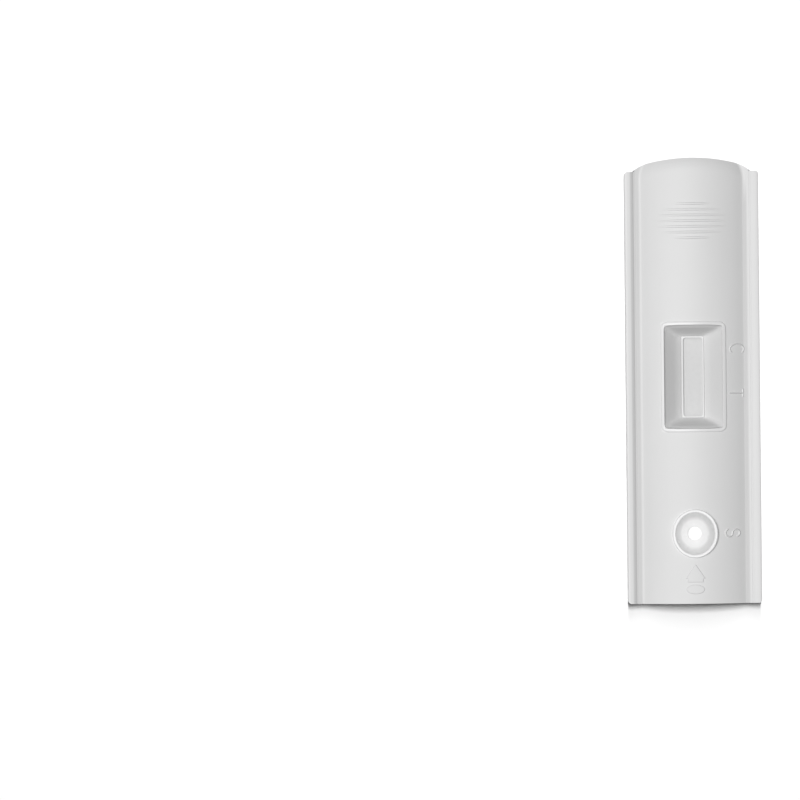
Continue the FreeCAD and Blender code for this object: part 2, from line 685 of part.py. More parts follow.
def make_bead():
    """The raised frame round the window: its plan cut out of a slightly thicker dome."""
    skin = new_body("bead_skin")
    section = new_sketch(skin, "bead_section", "XZ_Plane", "-Sizes.case_length / 2")
    dome_section(section, "Sizes.bead_height")
    pad(skin, section, "Sizes.case_length")
    return boolean(
        "Part::Common", "window_bead", skin,
        make_window_plan("bead_plan", "Sizes.bead_width", LIP_TOP),
    )


def make_window_plan(label, margin, foot):
    """An upright block as large as the window's mouth and a margin, corners rounded."""
    body = new_body(label)
    plan = new_sketch(body, f"{label}_rectangle", "XY_Plane", foot)
    half_width = f"(Sizes.mouth_width / 2 + {margin})"
    half_length = f"(Sizes.mouth_length / 2 + {margin})"
    draw_rectangle(
        plan, f"-{half_width}", half_width,
        f"({WINDOW_CENTRE} - {half_length})", f"({WINDOW_CENTRE} + {half_length})",
    )
    pad(body, plan, "Sizes.case_height")
    fillet(
        body, f"{label}_corners", f"(Sizes.mouth_corner_radius + {margin})",
        lambda middle, edge: is_upright(edge),
    )
    return body


def make_oval(name, half_across, half_along, height):
    """An oval section of the sample well, longer along the case."""
    oval = document.addObject("Part::Ellipse", name)
    oval.setExpression("MajorRadius", half_along)
    oval.setExpression("MinorRadius", half_across)
    oval.Placement = FreeCAD.Placement(
        FreeCAD.Vector(0, 0, 0), FreeCAD.Rotation(FreeCAD.Vector(0, 0, 1), 90)
    )
    oval.setExpression("Placement.Base.y", WELL_CENTRE)
    oval.setExpression("Placement.Base.z", height)
    return oval


# How far the bowl has spread, from hole to rim, at each share of its depth.
BOWL_STEPS = ((0, 0), (0.6, 0.34), (1, 1))


def make_bowl(label, wall):
    """The sample well as a loft of ovals whose wall flattens towards the hole."""
    sections = []
    rim_across = "(Sizes.well_ring_width / 2 - Sizes.well_ring_band)"
    rim_along = "(Sizes.well_ring_length / 2 - Sizes.well_ring_band)"
    hole = "(Sizes.well_hole / 2)"
    depth = f"({RING_TOP} - {WELL_FOOT} - Sizes.well_edge)"
    for number, (spread, lift) in enumerate(BOWL_STEPS):
        half_across = f"({hole} + {spread} * ({rim_across} - {hole}) + {wall})"
        half_along = f"({hole} + {spread} * ({rim_along} - {hole}) + {wall} )"
        height = f"({WELL_FOOT} + Sizes.well_edge + {lift} * {depth})"
        sections.append(make_oval(f"{label}_oval_{number}", half_across, half_along, height))
    loft = document.addObject("Part::Loft", f"{label}_loft")
    loft.Sections = sections
    loft.Solid = True
    loft.Ruled = False
    shaft_radius = f"({hole} + {wall})"
    shaft = document.addObject("Part::Cylinder", f"{label}_shaft")
    shaft.setExpression("Radius", shaft_radius)
    foot = WELL_FOOT if wall != "0" else f"({WELL_FOOT} - Sizes.well_gap / 2)"
    shaft.setExpression("Height", f"({WELL_FOOT} + Sizes.well_edge - {foot})")
    shaft.setExpression("Placement.Base.y", WELL_CENTRE)
    shaft.setExpression("Placement.Base.z", foot)
    document.recompute()
    return boolean("Part::MultiFuse", label, loft, shaft)


def make_ring(label):
    """The raised ring round the well, standing a little over the crown of the dome."""
    outer = make_oval(
        f"{label}_foot", "(Sizes.well_ring_width / 2)", "(Sizes.well_ring_length / 2)",
        LIP_TOP,
    )
    inner = make_oval(
        f"{label}_top", "(Sizes.well_ring_width / 2)", "(Sizes.well_ring_length / 2)", RING_TOP,
    )
    loft = document.addObject("Part::Loft", label)
    loft.Sections = [outer, inner]
    loft.Solid = True
    loft.Ruled = True
    document.recompute()
    return loft


def make_pins():
    """Pins under the cover, one for each socket of the base."""
    outside = f"({PIN_OFFSET} + Sizes.pin_diameter / 2)"
    roof = f"({DOME_AXIS} + sqrt(Sizes.dome_radius ^ 2 - {outside} ^ 2))"
    foot = "(Sizes.base_floor + Sizes.pin_end_gap)"
    return make_pin_cylinders(
        "pins", "(Sizes.pin_diameter / 2)", foot, f"({roof} - Sizes.rib_root / 2 - {foot})",
    )


def make_press_ribs():
    """Cross ribs under the dome that keep the pads down on the bed."""
    body = new_body("press_ribs")
    roof = "(Sizes.case_height - Sizes.cover_wall + Sizes.rib_root / 2)"
    flat_start = f"({MEMBRANE_END} + Sizes.pad_step)"
    pitch = f"(({STRIP_END} - {flat_start}) / {PRESS_RIBS_ON_ABSORBENT})"
    on_absorbent = [
        f"({STRIP_END} - ({number} + 0.5) * {pitch})" for number in range(PRESS_RIBS_ON_ABSORBENT)
    ]
    for name, places, pad_top in (
        ("sample", [f"({STRIP_START} + 2 * Sizes.press_rib_width)"], SAMPLE_PAD_TOP),
        ("absorbent", on_absorbent, ABSORBENT_TOP),
    ):
        foot = f"({pad_top} + Sizes.press_gap)"
        sketch = new_sketch(body, f"press_{name}", "XY_Plane", foot)
        for place in places:
            draw_rectangle(
                sketch, "-Sizes.press_rib_length / 2", "Sizes.press_rib_length / 2",
                f"({place} - Sizes.press_rib_width / 2)", f"({place} + Sizes.press_rib_width / 2)",
            )
        pad(body, sketch, f"({roof} - {foot})")
    return body


def make_grip_ribs():
    """Ribs with sloping sides across the dome, longest in the middle of the field. Each
    is bent a little tighter than the dome, so it sinks into it at both ends."""
    ribs = []
    half_top = "(Sizes.grip_rib_top / 2)"
    half_foot = "(Sizes.grip_rib_foot / 2)"
    for number in range(GRIP_RIBS):
        step = f"({2 * number / (GRIP_RIBS - 1) - 1} * (Sizes.grip_length / 2 - {half_foot}))"
        place = f"({GRIP_CENTRE} + {step})"
        reach = f"(Sizes.grip_width / 2 * sqrt(1 - ({step} / (Sizes.grip_length / 2)) ^ 2))"
        bend = f"(1 / (1 / Sizes.dome_radius + 2 * Sizes.grip_rib_height / {reach} ^ 2))"
        pivot = f"({DOME_AXIS} + Sizes.dome_radius + Sizes.grip_rib_height - {bend})"
        crest = f"({pivot} + {bend})"
        root = f"({crest} - Sizes.grip_rib_depth)"
        body = new_body(f"grip_rib_{number}")
        sketch = new_sketch(body, f"grip_section_{number}", "YZ_Plane")
        draw_outline(
            sketch,
            [
                (f"({place} - {half_foot})", root), (f"({place} + {half_foot})", root),
                (f"({place} + {half_top})", crest), (f"({place} - {half_top})", crest),
            ],
        )
        axis = sketch.addGeometry(
            Part.LineSegment(
                FreeCAD.Vector(measure(place) - 1, measure(pivot), 0),
                FreeCAD.Vector(measure(place) + 1, measure(pivot), 0),
            ),
            True,
        )
        bind(sketch, "DistanceX", (-1, 1, axis, 1), "axis_start", f"({place} - 1)")
        bind(sketch, "DistanceX", (-1, 1, axis, 2), "axis_end", f"({place} + 1)")
        bind(sketch, "DistanceY", (-1, 1, axis, 1), "axis_start_height", pivot)
        bind(sketch, "DistanceY", (-1, 1, axis, 2), "axis_end_height", pivot)
        turned = body.newObject("PartDesign::Revolution", f"grip_bar_{number}")
        turned.Profile = sketch
        turned.ReferenceAxis = (sketch, ["Axis0"])
        turned.Midplane = True
        turned.setExpression("Angle", f"2 * asin(Sizes.grip_run_out * {reach} / {bend})")
        ribs.append(body)
    document.recompute()
    return ribs


def make_cover(block):
    """The domed cover with its dished window, sample well, grip, pins and ribs."""
    shell = boolean("Part::Cut", "cover_shell", block, make_cover_cavity())
    recess = boolean("Part::Common", "recess_walls", make_recess_walls(), block)
    bowl = boolean("Part::Common", "bowl_walls", make_bowl("bowl_outside", "Sizes.well_wall"), block)
    bead = make_bead()
    ring = make_ring("well_ring")
    filled = boolean(
        "Part::MultiFuse", "cover_filled",
        shell, recess, bowl, bead, ring, make_pins(), make_press_ribs(), *make_grip_ribs(),
    )
    hollows = boolean(
        "Part::MultiFuse", "cover_hollows", make_recess_hollow(), make_bowl("bowl_hollow", "0")
    )
    sharp = boolean("Part::Cut", "cover_sharp", filled, hollows)
    return finish_cover_edges(sharp)


def finish_cover_edges(sharp):
    """Rounds the window's raised frame and bevels the well's ring."""
    body = new_body("top_cover")
    body.BaseFeature = sharp
    document.recompute()
    axis = measure(DOME_AXIS)
    bead_radius = measure("Sizes.dome_radius + Sizes.bead_height")
    mouth_side = measure("Sizes.mouth_width / 2")
    mouth_end = measure("Sizes.mouth_length / 2")
    band = measure("Sizes.bead_width")
    centre = measure(WINDOW_CENTRE)

    def is_outer_bead_edge(middle, edge):
        across = abs(middle.x) - mouth_side
        along = abs(middle.y - centre) - mouth_end
        on_bead = abs(math.hypot(middle.x, middle.z - axis) - bead_radius) < 0.01
        return on_bead and 0.1 * band < max(across, along) < 1.1 * band

    fillet(
        body, "bead_round", "Sizes.bead_round",
        is_outer_bead_edge,
    )
    ring_top = measure(RING_TOP)
    chamfer(
        body, "well_ring_bevel", "Sizes.well_ring_bevel",
        lambda middle, edge: abs(middle.z - ring_top) < 0.005,
    )
    return body


def make_layer(label, start, end, foot, thickness):
    """A flat layer of the test strip, as wide as the strip."""
    body = new_body(label)
    side = new_sketch(body, f"{label}_side", "YZ_Plane", f"-{STRIP_HALF_WIDTH}")
    draw_rectangle(side, start, end, foot, f"({foot} + {thickness})")
    pad(body, side, "Sizes.strip_width")
    return body


def make_climbing_pad(label, start, step_foot, step_top, end, high, thickness):
    """A pad that lies on the card and climbs on to its neighbour at one end."""
    body = new_body(label)
    side = new_sketch(body, f"{label}_side", "YZ_Plane", f"-{STRIP_HALF_WIDTH}")
    draw_outline(
        side,
        [
            (start, CARD_TOP),
            (step_foot, CARD_TOP),
            (step_top, high),
            (end, high),
            (end, f"({high} + {thickness})"),
            (step_top, f"({high} + {thickness})"),
            (step_foot, f"({CARD_TOP} + {thickness})"),
            (start, f"({CARD_TOP} + {thickness})"),
        ],
    )
    pad(body, side, "Sizes.strip_width")
    return body


def make_strip():
    """The test strip: card, membrane, and three pads that overlap from end to end."""
    card = make_layer("backing_card", STRIP_START, STRIP_END, BED, "Sizes.card_thickness")
    membrane = make_layer(
        "nitrocellulose_membrane", MEMBRANE_START, MEMBRANE_END, CARD_TOP,
        "Sizes.membrane_thickness",
    )
    conjugate = make_climbing_pad(
        "conjugate_pad", CONJUGATE_START, f"({MEMBRANE_START} - Sizes.pad_step)",
        MEMBRANE_START, CONJUGATE_END, MEMBRANE_TOP, "Sizes.conjugate_thickness",
    )
    sample = make_climbing_pad(
        "sample_pad", STRIP_START, f"({CONJUGATE_START} - Sizes.pad_step)",
        CONJUGATE_START, SAMPLE_PAD_END, f"({CARD_TOP} + Sizes.conjugate_thickness)",
        "Sizes.sample_pad_thickness",
    )
    absorbent = make_climbing_pad(
        "absorbent_pad", STRIP_END, f"({MEMBRANE_END} + Sizes.pad_step)",
        MEMBRANE_END, ABSORBENT_START, MEMBRANE_TOP, "Sizes.absorbent_thickness",
    )
    return [card, membrane, conjugate, sample, absorbent]


def check_document():
    """Stops where an object of the document has failed."""
    for item in document.Objects:
        if "Invalid" in item.State or "Error" in item.State:
            raise RuntimeError(f"{item.Name} failed: {item.getStatusString()}")


def write_pieces(pieces):
    os.makedirs("parts", exist_ok=True)
    for piece in pieces:
        shape = piece.Shape
        if shape.isNull() or not shape.isValid() or len(shape.Solids) != 1:
            raise RuntimeError(f"{piece.Label} is not one valid solid")
    for piece in pieces:
        piece.Shape.exportStep(f"parts/{piece.Label}.step")
        box = piece.Shape.BoundBox
        print(
            f"{piece.Label}: {piece.Shape.Volume:.1f} mm3,"
            f" {box.XLength:.2f} x {box.YLength:.2f} x {box.ZLength:.2f} mm"
        )


def main():
    base = make_base()
    cover = make_cover(make_cover_block())
    pieces = [base, cover, *make_strip()]
    document.recompute()
    check_document()
    write_pieces(pieces)


main()
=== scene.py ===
"""Looks of a cassette-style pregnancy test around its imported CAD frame.

Metres, +Z out of the domed face, +Y towards the bowed thumb end.
"""

import math

import bpy
import numpy as np
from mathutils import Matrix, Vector
from mathutils.bvhtree import BVHTree


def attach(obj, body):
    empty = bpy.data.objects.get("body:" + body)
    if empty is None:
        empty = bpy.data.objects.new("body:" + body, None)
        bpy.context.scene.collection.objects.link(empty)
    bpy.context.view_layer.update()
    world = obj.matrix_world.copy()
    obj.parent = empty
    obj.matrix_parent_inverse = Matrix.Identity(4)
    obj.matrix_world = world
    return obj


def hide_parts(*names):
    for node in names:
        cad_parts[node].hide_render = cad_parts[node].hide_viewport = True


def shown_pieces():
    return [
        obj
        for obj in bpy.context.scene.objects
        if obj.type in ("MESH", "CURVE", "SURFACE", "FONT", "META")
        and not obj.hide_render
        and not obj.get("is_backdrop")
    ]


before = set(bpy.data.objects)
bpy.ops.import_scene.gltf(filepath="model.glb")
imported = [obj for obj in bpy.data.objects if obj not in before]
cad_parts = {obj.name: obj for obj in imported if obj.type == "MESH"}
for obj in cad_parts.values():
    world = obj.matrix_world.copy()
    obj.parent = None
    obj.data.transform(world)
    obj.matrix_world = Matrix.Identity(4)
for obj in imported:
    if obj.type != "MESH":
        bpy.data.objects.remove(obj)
bpy.context.view_layer.update()

MM = 0.001

# The case, in millimetres, as the CAD has it.
CASE_HEIGHT = 5.5
CASE_HALF_WIDTH = 10.5
DOME_RADIUS = 15.1026
DOME_AXIS = CASE_HEIGHT - DOME_RADIUS
WINDOW_CENTRE = 0.6
WELL_CENTRE = -24.0

# The well's bowl, in millimetres: its hole's radius, half sizes at the rim, foot and depth.
WELL_HOLE = 1.075
WELL_RIM = (3.0, 3.25)
WELL_LOW = 2.75
WELL_DEPTH = 3.0


def dome(x):
    """Height of the cover's outer skin above the table, x from the middle line."""
    return DOME_AXIS + np.sqrt(DOME_RADIUS ** 2 - np.square(x))


# Materials


class Shader:
    """A short way to write a node tree."""

    def __init__(self, name):
        self.material = bpy.data.materials.new(name)
        self.material.use_nodes = True
        self.tree = self.material.node_tree
        self.tree.nodes.clear()
        self.output = self.tree.nodes.new("ShaderNodeOutputMaterial")

    def node(self, kind, settings=None, **inputs):
        made = self.tree.nodes.new(kind)
        for key, value in (settings or {}).items():
            setattr(made, key, value)
        for key, value in inputs.items():
            self.feed(made, key.replace("_", " "), value)
        return made

    def feed(self, made, key, value):
        socket = made.inputs[int(key)] if key.isdigit() else made.inputs[key]
        if isinstance(value, bpy.types.NodeSocket):
            self.tree.links.new(value, socket)
        else:
            socket.default_value = value

    def math(self, operation, first, second=None):
        made = self.tree.nodes.new("ShaderNodeMath")
        made.operation = operation
        self.feed(made, "0", first)
        if second is not None:
            self.feed(made, "1", second)
        return made.outputs[0]

    def product(self, first, *others):
        for other in others:
            first = self.math("MULTIPLY", first, other)
        return first

    def place(self):
        """Place in the row frame, in metres: the CAD nodes sit at the origin."""
        return self.node("ShaderNodeTexCoord").outputs["Object"]

    def noise(self, place, scale, detail=3.0, roughness=0.5):
        made = self.node("ShaderNodeTexNoise", None, Scale=scale, Detail=detail, Roughness=roughness)
        self.tree.links.new(place, made.inputs["Vector"])
        return made.outputs["Fac"]

    def spread(self, value, low, high, to_low, to_high):
        made = self.tree.nodes.new("ShaderNodeMapRange")
        self.feed(made, "Value", value)
        made.inputs["From Min"].default_value = low
        made.inputs["From Max"].default_value = high
        made.inputs["To Min"].default_value = to_low
        made.inputs["To Max"].default_value = to_high
        return made.outputs["Result"]

    def rise(self, value, low, high, top=1.0):
        """Goes from 0 up to top between two places in millimetres."""
        return self.spread(value, low * MM, high * MM, 0.0, top)

    def fall(self, value, low, high):
        """Goes from 1 down to 0 between two places in millimetres."""
        return self.spread(value, low * MM, high * MM, 1.0, 0.0)

    def oval(self, axes, centre, half_sizes):
        """How far out a place is from an oval's centre in plan, which is 1 on the oval."""
        across = self.math("DIVIDE", axes[0], half_sizes[0] * MM)
        offset = self.math("SUBTRACT", axes[1], centre * MM)
        along = self.math("DIVIDE", offset, half_sizes[1] * MM)
        squares = self.math("ADD", self.product(across, across), self.product(along, along))
        return self.math("SQRT", squares)

    def mix(self, share, first, second):
        made = self.tree.nodes.new("ShaderNodeMix")
        made.data_type = "RGBA"
        self.feed(made, "0", share)
        self.feed(made, "6", first)
        self.feed(made, "7", second)
        return made.outputs[2]

    def bump(self, height, distance, strength):
        made = self.node("ShaderNodeBump", None, Strength=strength, Distance=distance, Height=height)
        return made.outputs["Normal"]

    def surface(self, made):
        self.tree.links.new(made.outputs[0], self.output.inputs["Surface"])
        return self.material


def grey(value):
    return (value, value, value, 1.0)


# Where the shell's plastic changes, in millimetres. The pair of the oval of polish and painted sheen
# is its half sizes and its edge is in shares of them; the other pairs say where a change starts and
# where it ends.
POLISH_AND_SHEEN_OVAL = (3.66, 3.91)
POLISH_AND_SHEEN_OVAL_EDGE = (0.985, 1.005)
POLISH_AND_SHEEN_OVAL_FOOT = (2.4, 2.6)
FRAME_STRETCH = 3.55
FRAME_INSIDE = (4.6, 4.66)
FRAME_OUTSIDE = (5.04, 5.12)
SLOT_LIP_STRETCH = 4.65
SLOT_LIP_OUTSIDE = (1.76, 1.86)
SLOT_LIP_FOOT = (2.2, 2.3)
RAIL_SIDE = (10.15, 10.4)
RAIL_SIDE_FOOT = (2.9, 3.2)
PAINTED_LIGHT_INSIDE = (4.58, 4.62)
PAINTED_LIGHT_OUTSIDE = (4.68, 4.74)
PAINTED_LIGHT_FOOT = (4.0, 4.2)
SHADE_FOOT = (3.0, 3.05)
COVE_INSIDE = (8.05, 8.2)
COVE_OUTSIDE = (8.45, 8.78)
COVE_MIDDLE = 8.7
COVE_END = (28.0, 32.0)
SEAM_OUTSIDE = (-9.75, -9.5)
SEAM_INSIDE = (-9.1, -8.8)

# How polished and how lightened by painted sheen the frame and the slot's lip are, how strong the
# rails' painted light and the painted shade of the left cove and the seam, and the greys of them all.
FRAME_POLISH_AND_SHEEN = 0.55
SLOT_LIP_POLISH_AND_SHEEN = 0.12
RAIL_PAINTED_LIGHT = 0.4
COVE_LEFT_SHARE = 0.15
SEAM_SHADE = 0.85
PAINTED_SHEEN_GREY = 0.72
PAINTED_LIGHT_GREY = 0.8
COVE_GREY = 0.53
SEAM_GREY = 0.5

# The eroded grain: hills to a metre, and their depth in millimetres.
GRAIN_SCALE = 9000.0
GRAIN_DEPTH = 0.01


def make_shell_plastic(name, low, high):
    """Matt injection-moulded polystyrene, eroded grain on the skin and a polished well, with painted
    sheen on the well, the window's frame and the slot's lip, painted light on the rails' sides and
    painted shade in the coves and the left seam.
    """
    s = Shader(name)
    place = s.place()
    axes = s.node("ShaderNodeSeparateXYZ", None, Vector=place).outputs
    aside = s.math("ABSOLUTE", axes[0])
    offset = s.math("ABSOLUTE", s.math("SUBTRACT", axes[1], WINDOW_CENTRE * MM))
    frame_reach = s.math("MAXIMUM", aside, s.math("SUBTRACT", offset, FRAME_STRETCH * MM))
    lip_reach = s.math("MAXIMUM", aside, s.math("SUBTRACT", offset, SLOT_LIP_STRETCH * MM))
    # Inside the oval of the well the mould is polished, and it is painted a lighter grey there as a
    # painted sheen.
    radius = s.oval(axes, WELL_CENTRE, POLISH_AND_SHEEN_OVAL)
    in_plan = s.spread(radius, *POLISH_AND_SHEEN_OVAL_EDGE, 1.0, 0.0)
    well = s.product(in_plan, s.rise(axes[2], *POLISH_AND_SHEEN_OVAL_FOOT))
    # The window's raised frame and the lip round its slot are a little polished, and they are painted
    # a little lighter as a painted sheen.
    on_frame = s.product(s.rise(frame_reach, *FRAME_INSIDE), s.fall(frame_reach, *FRAME_OUTSIDE))
    on_lip = s.product(s.fall(lip_reach, *SLOT_LIP_OUTSIDE), s.rise(axes[2], *SLOT_LIP_FOOT))
    edging = s.math("MAXIMUM", s.product(on_frame, FRAME_POLISH_AND_SHEEN), s.product(on_lip, SLOT_LIP_POLISH_AND_SHEEN))
    polished = s.math("MAXIMUM", well, edging)
    grain = s.noise(place, GRAIN_SCALE, 2.0, 0.6)
    cloud = s.noise(place, 90.0, 3.0, 0.5)
    skin = s.mix(s.spread(cloud, 0.3, 0.7, 0.0, 1.0), grey(low), grey(high))
    # Painted sheen: the polished places are painted a lighter grey. Their lower roughness below is
    # real polish.
    colour = s.mix(polished, skin, grey(PAINTED_SHEEN_GREY))
    # Painted light: the rails' sides and the inner edge of the window's frame are painted a lighter
    # grey.
    rim = s.product(s.rise(aside, *RAIL_SIDE), s.rise(axes[2], *RAIL_SIDE_FOOT))
    inner = s.product(
        s.rise(frame_reach, *PAINTED_LIGHT_INSIDE), s.fall(frame_reach, *PAINTED_LIGHT_OUTSIDE),
        s.rise(axes[2], *PAINTED_LIGHT_FOOT),
    )
    colour = s.mix(s.math("MAXIMUM", s.product(rim, RAIL_PAINTED_LIGHT), inner), colour, grey(PAINTED_LIGHT_GREY))
    # Shade is painted where the photograph is darker: in the coves beside the rails, most of it
    # on the right, and in the left rail's seam. It also marks the upright end faces there.
    cove = s.product(
        s.rise(aside, *COVE_INSIDE), s.fall(aside, *COVE_OUTSIDE),
        s.spread(axes[0], -COVE_MIDDLE * MM, COVE_MIDDLE * MM, COVE_LEFT_SHARE, 1.0),
        s.rise(axes[2], *SHADE_FOOT), s.fall(axes[1], *COVE_END),
    )
    colour = s.mix(cove, colour, grey(COVE_GREY))
    seam = s.product(
        s.rise(axes[0], *SEAM_OUTSIDE, SEAM_SHADE), s.fall(axes[0], *SEAM_INSIDE),
        s.rise(axes[2], *SHADE_FOOT),
    )
    colour = s.mix(seam, colour, grey(SEAM_GREY))
    rough = s.mix(polished, grey(0.56), grey(0.2))
    strength = s.spread(polished, 0.0, 1.0, 0.18, 0.01)
    plastic = s.node(
        "ShaderNodeBsdfPrincipled", None, Base_Color=colour, Roughness=rough,
        Normal=s.bump(grain, GRAIN_DEPTH * MM, strength),
    )
    plastic.inputs["Specular IOR Level"].default_value = 0.42
    return s.surface(plastic)


def make_fibre(name, light, dark, scale):
    """Felted fibre: three sets of stretched noise laid across one another."""
    s = Shader(name)
    place = s.place()
    layers = []
    for turn, stretch in ((0.3, 9.0), (1.4, 7.0), (2.4, 8.0)):
        mapping = s.node("ShaderNodeMapping", None, Vector=place)
        mapping.inputs["Rotation"].default_value = (0.0, 0.0, turn)
        mapping.inputs["Scale"].default_value = (1.0, stretch, stretch)
        layers.append(s.noise(mapping.outputs[0], scale, 2.0, 0.5))
    felt = s.math("MAXIMUM", s.math("MAXIMUM", layers[0], layers[1]), layers[2])
    tone = s.spread(felt, 0.45, 0.75, 0.0, 1.0)
    colour = s.mix(tone, dark, light)
    normal = s.bump(felt, 0.04 * MM, 0.6)
    fibre = s.node(
        "ShaderNodeBsdfPrincipled", None, Base_Color=colour, Roughness=0.9, Normal=normal,
    )
    fibre.inputs["Specular IOR Level"].default_value = 0.1
    return s.surface(fibre)


def make_membrane():
    """Cast nitrocellulose: a fine white sponge with a faint mottle."""
    s = Shader("membrane")
    place = s.place()
    pores = s.noise(place, 30000.0, 2.0, 0.6)
    mottle = s.noise(place, 1500.0, 3.0, 0.5)
    tone = s.spread(mottle, 0.35, 0.65, 0.0, 1.0)
    colour = s.mix(tone, grey(0.59), grey(0.605))
    normal = s.bump(pores, 0.000006, 0.5)
    sheet = s.node(
        "ShaderNodeBsdfPrincipled", None, Base_Color=colour, Roughness=0.75, Normal=normal,
    )
    sheet.inputs["Specular IOR Level"].default_value = 0.2
    return s.surface(sheet)


def make_card_film():
    """Glossy white polyester card with faint drawing lines."""
    s = Shader("card_film")
    place = s.place()
    mapping = s.node("ShaderNodeMapping", None, Vector=place)
    mapping.inputs["Scale"].default_value = (12.0, 1.0, 1.0)
    lines = s.noise(mapping.outputs[0], 900.0, 2.0, 0.5)
    rough = s.spread(lines, 0.3, 0.7, 0.28, 0.36)
    film = s.node("ShaderNodeBsdfPrincipled", None, Base_Color=grey(0.8), Roughness=rough)
    return s.surface(film)


MATERIALS = {
    "shell_plastic": make_shell_plastic("shell_plastic", 0.655, 0.668),
    "pad_fibre": make_fibre("pad_fibre", grey(0.93), grey(0.86), 1400.0),
    "conjugate_fibre": make_fibre(
        "conjugate_fibre", (0.62, 0.36, 0.42, 1.0), (0.50, 0.24, 0.31, 1.0), 1800.0
    ),
    "membrane": make_membrane(),
    "card_film": make_card_film(),
}


# Painted shade: the recess is painted a little darker than the shell, as it is darker in the
# photograph.
RECESS_PAINTED_SHADE_PLASTIC = make_shell_plastic("shell_plastic_recess_painted_shade", 0.61, 0.622)


def make_bowl_plastic():
    """The bowl's plastic: a finer skin than the shell's, with a faint flow mark, and painted lighter
    towards the rim as a painted light on its steep walls.
    """
    s = Shader("shell_plastic_bowl")
    place = s.place()
    axes = s.node("ShaderNodeSeparateXYZ", None, Vector=place).outputs
    radius = s.oval(axes, WELL_CENTRE, WELL_RIM)
    cloud = s.noise(place, 400.0, 3.0, 0.5)
    inner = s.mix(s.spread(cloud, 0.3, 0.7, 0.0, 1.0), grey(0.66), grey(0.68))
    # Painted light: from partway out to the rim the bowl is painted a lighter grey.
    colour = s.mix(s.spread(radius, 0.6, 0.9, 0.0, 1.0), inner, grey(0.8))
    normal = s.bump(s.noise(place, 14000.0, 2.0, 0.6), 0.000004, 0.3)
    plastic = s.node(
        "ShaderNodeBsdfPrincipled", None, Base_Color=colour, Roughness=0.5, Normal=normal,
    )
    plastic.inputs["Specular IOR Level"].default_value = 0.35
    return s.surface(plastic)


WELL_PLASTIC = make_bowl_plastic()


def dress(piece, slot):
    piece.data.materials.clear()
    piece.data.materials.append(MATERIALS[slot])


def refinish(piece, material):
    """Another finish of the same slot."""
    piece.data.materials.clear()
    piece.data.materials.append(material)


# Pieces


def make_piece(name, points, faces, slot, node=None, smooth=True):
    mesh = bpy.data.meshes.new(name)
    mesh.from_pydata([tuple(point) for point in points], [], faces)
    mesh.update()
    if smooth:
        mesh.shade_smooth()
    piece = bpy.data.objects.new(name, mesh)
    bpy.context.scene.collection.objects.link(piece)
    dress(piece, slot)
    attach(piece, "root")
    if node is not None:
        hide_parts(node)
    return piece


def segment_distance(x, y, start, stop):
    """Distance from each point to a straight stroke."""
    ax, ay = start
    bx, by = stop
    dx, dy = bx - ax, by - ay
    length = max(dx * dx + dy * dy, 1e-12)
    share = np.clip(((x - ax) * dx + (y - ay) * dy) / length, 0.0, 1.0)
    return np.hypot(x - ax - share * dx, y - ay - share * dy)


def stroke_distance(x, y, strokes):
    best = np.full(x.shape, 1e9)
    for points in strokes:
        for start, stop in zip(points[:-1], points[1:]):
            best = np.minimum(best, segment_distance(x, y, start, stop))
    return best


def arc(centre, radii, start, stop, steps=20):
    """Points on an oval arc; angles in degrees."""
    angles = np.radians(np.linspace(start, stop, steps + 1))
    return [
        (centre[0] + radii[0] * math.cos(angle), centre[1] + radii[1] * math.sin(angle))
        for angle in angles
    ]


def polygon_distance(x, y, corners):
    """Signed distance to a closed outline, negative inside."""
    best = np.full(x.shape, 1e9)
    inside = np.zeros(x.shape, dtype=bool)
    for start, stop in zip(corners, corners[1:] + corners[:1]):
        best = np.minimum(best, segment_distance(x, y, start, stop))
        crosses = (start[1] > y) != (stop[1] > y)
        slope = (stop[0] - start[0]) / ((stop[1] - start[1]) or 1e-12)
        inside ^= crosses & (x < start[0] + slope * (y - start[1]))
    return np.where(inside, -best, best)


# A mark's skirt starts a little under the dome's skin and goes down at this slope.
MARK_SINK = 0.004
SKIRT_SLOPE = 0.5
SKIRT_CELLS = 1.6


def emboss(name, box, distance, height, step=0.05, foot=0.11):
    """A raised mark on the dome. distance(x, y) is negative inside the mark; the mark
    rises over foot millimetres and goes a little under the skin outside."""
    left, right, front, back = box
    across = np.linspace(left, right, int((right - left) / step) + 1)
    along = np.linspace(front, back, int((back - front) / step) + 1)
    x, y = np.meshgrid(across, along)
    away = distance(x, y)
    share = np.clip(0.5 - away / foot, 0.0, 1.0)
    rise = height * share * share * (3 - 2 * share)
    sunk = np.clip(away - foot / 2, 0.0, None) * SKIRT_SLOPE
    z = dome(x) + rise - MARK_SINK - sunk
    keep = away < foot * 0.5 + step * SKIRT_CELLS
    rows, columns = x.shape
    numbers = -np.ones(x.shape, dtype=int)
    cells = []
    for row in range(rows - 1):
        for column in range(columns - 1):
            corner = [(row, column), (row, column + 1), (row + 1, column + 1), (row + 1, column)]
            if all(keep[c] for c in corner):
                cells.append(corner)
    points = []
    faces = []
    for corner in cells:
        face = []
        for c in corner:
            if numbers[c] < 0:
                numbers[c] = len(points)
                points.append((x[c] * MM, y[c] * MM, z[c] * MM))
            face.append(int(numbers[c]))
        faces.append(face)
    return make_piece(name, points, faces, "shell_plastic")


# Letters are turned a quarter clockwise, so a letter's up is +X and its right is -Y.
LETTER_STROKE = 0.06
LETTER_TALL = 2.5
LETTER_WIDE = 1.8
LETTER_MARGIN = 0.35
LETTER_HEIGHT = 0.24
LETTER_STEP = 0.04
LETTER_FOOT = 0.22


